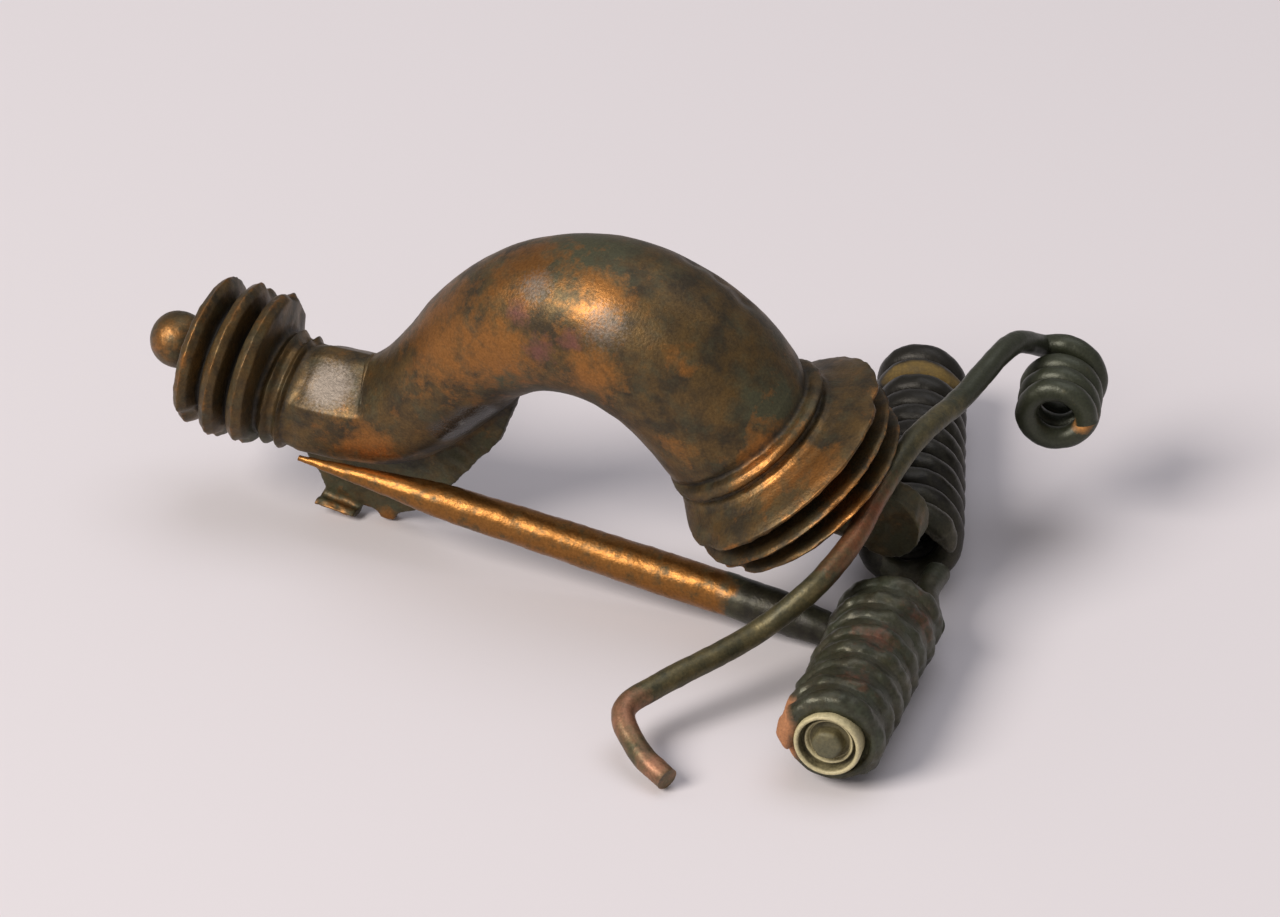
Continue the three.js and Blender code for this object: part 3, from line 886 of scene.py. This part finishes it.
def near_coil():
    pitch = (NEAR["from"] - NEAR["to"]) / NEAR["turns"]
    piece = grown("near_coil", COIL_TREE, bpy.data.meshes.new("near_coil"), {
        "Start Turn": -math.pi / 2,
        "End Turn": (NEAR["turns"] * 360 - 155) * DEG,
        "Start Radius": COIL_RADIUS,
        "End Radius": COIL_RADIUS - 0.1,
        "Length": NEAR["to"] - NEAR["from"],
        "Wire Across": NEAR["wire"] / 2,
        "Wire Along": pitch / 2 - 0.01,
        "Steps": 1000,
        "Sides": 28,
        "Seed": 3.0,
        "Lump Height": 0.24,
    })
    piece.data.transform(coil_place(NEAR) @ Matrix.Translation((0, NEAR["from"], 0)))
    return piece


def far_coil():
    pitch = (FAR["to"] - FAR["from"]) / FAR["turns"]
    piece = grown("far_coil", COIL_TREE, bpy.data.meshes.new("far_coil"), {
        "Start Turn": 0.0,
        "End Turn": FAR["turns"] * math.tau,
        "Start Radius": 2.19,
        "End Radius": COIL_RADIUS * FAR["end"],
        "Length": FAR["to"] - FAR["from"],
        "Wire Across": FAR["wire"] / 2,
        "Wire Along": pitch / 2 - 0.03,
        "Steps": 1200,
        "Sides": 26,
        "Seed": 8.0,
        "Lump Height": 0.08,
    })
    piece.data.transform(coil_place(FAR) @ Matrix.Translation((0, FAR["from"], 0)))
    return piece


def filling():
    """Corrosion between the near turns: a rough tube just under their crests."""
    profile = [(-4.0, 0.9), (-4.0, 2.66), (-16.0, 2.5), (-16.0, 2.0), (-14.2, 1.95), (-14.2, 0.4)]
    angle = np.arange(64) * math.tau / 64
    y, r = worn(profile, 0.2, 0.15).T[:, :, None]
    tube = np.stack([r * np.cos(angle), y + 0 * angle, r * np.sin(angle)], -1)
    piece = ring_mesh("filling", tube)
    piece.data.transform(coil_place(NEAR))
    return piece


PIN_LINE = [
    (-34.5, -2.75, 5.25),
    (-24, -2.72, 4.0),
    (-14.5, -2.75, 2.65),
    (-6.5, -3.1, 1.75),
    (-1.06, -3.35, 0.87),
]
PIN_POINTS = 60
CROSSING = [(2.6, -3.75, 3.1), (2.0, -2.4, 2.9), (1.15, -0.3, 2.9), (1.1, 1.8, 3.0)]


def pin():
    """A sharp point, a long swelling belly, and a thinner root where it enters the spring."""
    u = np.linspace(0, 1, PIN_POINTS)
    point = np.minimum(0.2 + 4.2 * u, 0.9 + 0.7 * u)
    thickness = np.minimum(point, 1.24 - 1.6 * np.maximum(0, u - 0.75))
    sizes = {"Seed": 5.0, "Lump Height": -0.05}
    return path_wire("pin", smooth_line(PIN_LINE, PIN_POINTS), thickness, sizes)


def crossing():
    return path_wire("crossing", smooth_line(CROSSING, 24), NEAR["wire"] / 2, {"Seed": 6.0})


spring = unite(near_coil(), [filling(), crossing(), far_coil(), pin()])
spring.name = "spring_with_pin"

# %% [markdown]
# ## The iron rod
# The spring turns on an iron rod. Its near end shows in the middle of the coil as a six-sided
# core in an olive crust, inside two pale rings: packing that held the rod in the middle. It is
# turned about the spring's own line.

# %% Rod with its packing
ROD_PROFILE = [
    # along y from the near end, radius
    (-16.75, 0.01),
    (-16.75, 0.7),
    (-16.6, 0.84),
    (-16.05, 0.86),
    (-15.95, 1.1),
    (-16.2, 1.16),
    (-16.28, 1.3),
    (-16.0, 1.42),
    (-16.05, 1.5),
    (-16.6, 1.52),
    (-16.72, 1.6),
    (-16.7, 1.74),
    (-16.5, 1.8),
    (-15.2, 1.76),
    (-15.1, 1.2),
    (-12.8, 1.2),
    (-12.6, 0.85),
    (-2.8, 0.85),
    (-2.7, 0.6),
    (-2.7, 0.01),
]


def rod():
    y, r = worn(ROD_PROFILE, 0.06, 0.05).T[:, :, None]
    angle = np.arange(72) * math.tau / 72
    six = 1 - 0.07 * np.abs(np.sin(3 * angle)) * step(0.95, 0.8, r)
    around = [r * six * np.cos(angle), y + 0 * angle, r * six * np.sin(angle)]
    piece = ring_mesh("rod", np.stack(around, -1))
    piece.data.transform(coil_place(NEAR))
    return piece


axis_rod = rod()
axis_rod.name = "rod_with_packing"

# %% [markdown]
# ## The loose wire
# A thinner wire hooks round in front, passes through the back of the head and ends in a small
# loose coil. It is most likely the spring's broken chord, bent as it came out of the ground.

# %% Loose wire with its small coil
LOOSE_LINE = [
    (-6.55, -19.2, 0.72),
    (-8.4, -18.2, 1.3),
    (-10.1, -16.3, 2.4),
    (-8.9, -14.2, 3.0),
    (-5.6, -9.6, 4.0),
    (-3.05, -7.45, 6.15),
    (-1.75, -5.1, 7.8),
    (-1.2, -1.5, 9.45),
    (-0.5, 1.9, 10.8),
    (0.4, 7.2, 10.75),
    (1.5, 13.2, 11.3),
]
SMALL_COIL = {"x": 4.1, "y": 13.7, "z": 7.95, "r": 1.7, "pitch": 1.45, "turns": 3.4, "skew": 12 * DEG}
LOOSE_WIRE_RADIUS = 0.68


def loose_wire():
    c = SMALL_COIL
    wound = []
    for i in range(int(c["turns"] * 12) + 1):
        a = (120 - 30 * i) * DEG
        wide = c["r"] + 0.55 * max(0, 1 - i / 5)
        across, along = wide * math.cos(a), 2.6 - c["pitch"] * i / 12
        wound.append((
            c["x"] + across * math.cos(c["skew"]) - along * math.sin(c["skew"]),
            c["y"] + along * math.cos(c["skew"]) + across * math.sin(c["skew"]),
            c["z"] + wide * math.sin(a),
        ))
    line = smooth_line(LOOSE_LINE + wound, 420)
    sizes = {"Seed": 11.0, "Step": 0.12, "Lump Height": -0.05, "Sides": 24}
    return path_wire("loose_wire", line, LOOSE_WIRE_RADIUS, sizes)


wire = loose_wire()
wire.name = "loose_wire_bent"
# %% [markdown]
# ## Wear and burial on the wires
# The pin was handled most, so it is still golden, up to a black root by the spring. The near
# coil is green-black with a waxy shine and copper-red spots, and its wire's broken end is a
# terracotta crust. The far coil is nearly black, with one band of ochre earth.

# %% Wear of the wires
def roughen(piece, size, depth, seed):
    points = points_of(piece)
    rough = (mottle(points, size, seed) + 1) * depth
    move_points(piece, points - normals_of(piece) * rough[:, None])
    return points


RED_TURNS = [(1.5, -9.5, 5.5, 1.4), (1.8, -13.5, 5.3, 1.0), (2.6, -5.5, 4.5, 1.2)]
WIRE_END = [(-1.9, -16.0, 3.4, 1.2), (-1.9, -15.6, 1.6, 1.0), (-2.3, -15.0, 2.6, 1.0)]
OCHRE_BAND = {"at": 20.1, "half": 0.75}  # mm along the far coil


def paint_spring():
    points = roughen(spring, 0.6, 0.035, 31)
    x, y, z = points.T
    uneven = mottle(points, 1.2, 33)
    along_far = y * math.cos(FAR["skew"]) - x * math.sin(FAR["skew"])
    band = np.exp(-(((along_far - OCHRE_BAND["at"]) / OCHRE_BAND["half"]) ** 4)) * step(3.2, 4.4, z)
    root = step(-9.5, -7.5, x) * (x < -2.5)
    paint(spring, "golden", step(-8.0, -10.5, x + uneven))
    paint(spring, "green", 0.45 + 0.25 * uneven - 0.35 * step(2.5, 5, y))
    paint(spring, "red", 0.12 + 0.36 * spots(points, *RED_TURNS))
    paint(spring, "ochre", 0.9 * band * (0.75 + 0.4 * uneven))
    paint(spring, "stain", 0.3 - 0.1 * step(-30, -34, x))
    paint(spring, "crust", 2.2 * spots(points, *WIRE_END))
    paint(spring, "soot", step(3.0, 6.0, y) * 0.65 + 0.6 * root)


def paint_wire():
    points = roughen(wire, 0.7, 0.02, 41)
    paint(wire, "red", 0.55 * spots(points, (-1.9, -5.5, 7.6, 2.4), (-1.3, -2.5, 9.0, 2.0)))
    paint(wire, "pink", 0.75 * spots(points, (-9.6, -16.6, 2.2, 2.0), (-7.2, -18.9, 1.0, 1.2)))
    paint(wire, "green", 0.35 + 0.5 * step(4, 9, points[:, 1]))
    paint(wire, "crust", 1.4 * spots(points, (*points[-1], 0.8)))


def paint_rod():
    points = points_of(axis_rod)
    into = points @ (-math.sin(NEAR["skew"]), math.cos(NEAR["skew"]), 0)
    flat = points - (0, 0, COIL_HEIGHT)
    from_axis = np.sqrt(np.maximum((flat**2).sum(1) - into**2, 0))
    inner_ring = step(1.02, 1.12, from_axis) * step(1.32, 1.22, from_axis)
    paint(axis_rod, "cream", np.maximum(step(1.45, 1.6, from_axis), inner_ring))
    paint(axis_rod, "rust", 0.5 * step(0.9, 0.7, from_axis))


paint_spring()
paint_wire()
paint_rod()
print("wires painted")

# %% [markdown]
# ## Patinated metal
# Every finish here is the same kind of thing: an old metal under thin layers, such as polish,
# verdigris, cuprite and earth; on the bow a few layers are painted highlight and painted shade.
# So one function builds them all. A layer shows where its painted
# amount and a cloud of noise together pass a threshold, which gives the ragged edges of real
# corrosion. Two mixes run side by side: one of colours, and one whose red is how metallic the
# surface is and whose green is how rough.

# %% A material in layers
PER_MM = 1000  # noise is sized per metre, so this over a size in mm gives its scale
BLOTCH = 1.6  # mm, the size of the broad light and dark blotches


def patinated(name, base, layers, grain=0.14, depth=0.03):
    """base: two colours, how metallic and how rough.
    layers: painted amount, colour, how metallic, how rough, size of its noise in mm, and how far
    the noise carries it past its painted edge. grain and depth: the fine tooth, in mm."""
    material = bpy.data.materials.new(name)
    material.use_nodes = True
    tree = material.node_tree
    shader = tree.nodes["Principled BSDF"]
    place = add(tree, "ShaderNodeTexCoord").outputs["Object"]
    light, dark, metallic, rough = base
    clouds = {"Vector": place, "Scale": PER_MM / BLOTCH, "Detail": 6.0, "Roughness": 0.65}
    cloud = add(tree, "ShaderNodeTexNoise", clouds)
    edges = {"Value": cloud.outputs[0], "From Min": 0.36, "From Max": 0.62}
    share = add(tree, "ShaderNodeMapRange", edges)
    pair = {0: share, 6: colour(light), 7: colour(dark)}
    look = add(tree, "ShaderNodeMix", pair, data_type="RGBA")
    pair = {0: share, 6: (metallic, rough, 0, 1), 7: (metallic * 0.85, rough + 0.08, 0, 1)}
    finish = add(tree, "ShaderNodeMix", pair, data_type="RGBA")
    for seed, (amount, tint, metal, rough, size, spread) in enumerate(layers):
        painted = add(tree, "ShaderNodeAttribute", attribute_name=amount)
        clouds = {"Vector": place, "W": seed * 3.7, "Scale": PER_MM / size, "Detail": 5.0, "Roughness": 0.7}
        noise = add(tree, "ShaderNodeTexNoise", clouds, noise_dimensions="4D")
        swing = {0: noise.outputs[0], 1: 2 * spread, 2: -spread}
        ragged = add(tree, "ShaderNodeMath", swing, operation="MULTIPLY_ADD")
        level = add(tree, "ShaderNodeMath", {0: painted.outputs["Fac"], 1: ragged}, operation="ADD")
        shows = add(tree, "ShaderNodeMapRange", {"Value": level, "From Min": 0.27, "From Max": 0.73})
        pair = {0: shows, 6: look.outputs[2], 7: colour(tint)}
        look = add(tree, "ShaderNodeMix", pair, data_type="RGBA")
        pair = {0: shows, 6: finish.outputs[2], 7: (metal, rough, 0, 1)}
        finish = add(tree, "ShaderNodeMix", pair, data_type="RGBA")
    tooth = {"Vector": place, "Scale": PER_MM / grain, "Detail": 3.0, "Roughness": 0.6}
    fine = add(tree, "ShaderNodeTexNoise", tooth)
    shades = {"Value": fine.outputs[0], "From Min": 0.3, "From Max": 0.7, "To Min": 0.78, "To Max": 1.22}
    tone = add(tree, "ShaderNodeMapRange", shades)
    speckled = add(tree, "ShaderNodeVectorMath", {0: look.outputs[2], "Scale": tone}, operation="SCALE")
    parts = add(tree, "ShaderNodeSeparateColor", {"Color": finish.outputs[2]})
    bump = add(tree, "ShaderNodeBump", {"Height": fine.outputs[0], "Distance": depth * MM, "Strength": 0.6})
    tree.links.new(speckled.outputs[0], shader.inputs["Base Color"])
    tree.links.new(parts.outputs[0], shader.inputs["Metallic"])
    tree.links.new(parts.outputs[1], shader.inputs["Roughness"])
    tree.links.new(bump.outputs[0], shader.inputs["Normal"])
    return material


# %% [markdown]
# ## The four finishes
# Each finish starts from the metal as it was made. Cast bronze has a soft satin skin, drawn wire
# is smoother, and iron turns to a dull crust. Corrosion is hardly metallic and is rougher than
# polish, so it breaks up the shine. Lacquer over a cleaned patch is not metal at all: it is dark
# and glossy, and a few pale flecks are left on it.

# %% Finishes of the four pieces
# Cast bronze, handled and then buried: satin brown, with the metal's gold where it is rubbed,
# painted gold and grey highlights, and painted shade under the arch.
bow_metal = patinated("cast bronze, satin brown patina", ("#66502F", "#3B3223", 0.75, 0.42), [
    ("green", "#45442F", 0.4, 0.52, 1.3, 0.75),
    # Rubbed gold, which also paints highlights on the head's ring and the catchplate's rim.
    ("wear_and_highlight", "#936536", 0.92, 0.38, 0.9, 0.9),
    ("red", "#704A40", 0.65, 0.42, 0.5, 0.6),
    # Grey of the neck's facet, which also paints a grey highlight on the arch's crest.
    ("grey_facet_and_highlight", "#6F665C", 0.6, 0.46, 0.16, 0.6),
    # Dark dirt in the grooves, which also paints shade under the arch.
    ("groove_dirt_and_shade", "#211C13", 0.1, 0.7, 0.4, 0.5),
    ("lacquer", "#2F2A24", 0.0, 0.12, 0.9, 0.2),
    ("flecks", "#CFCDC8", 0.0, 0.3, 0.6, 0.45),
])
# Drawn bronze wire: golden where handled, green-black with a waxy shine where corroded.
spring_metal = patinated("drawn bronze, green-black corrosion", ("#4C4838", "#2E2C20", 0.55, 0.36), [
    ("green", "#3E4234", 0.35, 0.38, 0.9, 0.6),
    ("red", "#6B3F2C", 0.5, 0.45, 0.6, 0.6),
    ("golden", "#8C6031", 0.95, 0.36, 0.5, 0.35),
    ("stain", "#34341F", 0.5, 0.45, 0.7, 1.0),
    ("soot", "#1E1B13", 0.4, 0.42, 0.6, 0.5),
    ("ochre", "#6E5928", 0.05, 0.75, 0.4, 0.3),
    ("crust", "#9C6A45", 0.05, 0.7, 0.5, 0.3),
])
# Thin drawn bronze wire: olive-brown, reddened where it was rubbed against the head.
wire_metal = patinated("bent bronze wire, olive patina", ("#6A6040", "#403D29", 0.6, 0.42), [
    ("green", "#35382A", 0.4, 0.4, 0.8, 0.6),
    ("red", "#7A4B31", 0.7, 0.42, 0.6, 0.5),
    ("pink", "#94694F", 0.6, 0.45, 0.6, 0.5),
    ("crust", "#B07A3E", 0.1, 0.65, 0.4, 0.3),
])
# Iron core in an olive crust, with two pale rings of old packing.
rod_metal = patinated("iron rod in olive crust", ("#6A6243", "#4C4733", 0.2, 0.6), [
    ("cream", "#B3A983", 0.0, 0.5, 0.4, 0.4),
    ("rust", "#5B5A45", 0.3, 0.55, 0.4, 0.4),
])

# %% Put the pieces in the frame and close
finish_piece(bow, "bow", bow_metal)
finish_piece(spring, "spring_and_pin", spring_metal)
finish_piece(axis_rod, "axis_rod", rod_metal)
finish_piece(wire, "loose_wire", wire_metal)
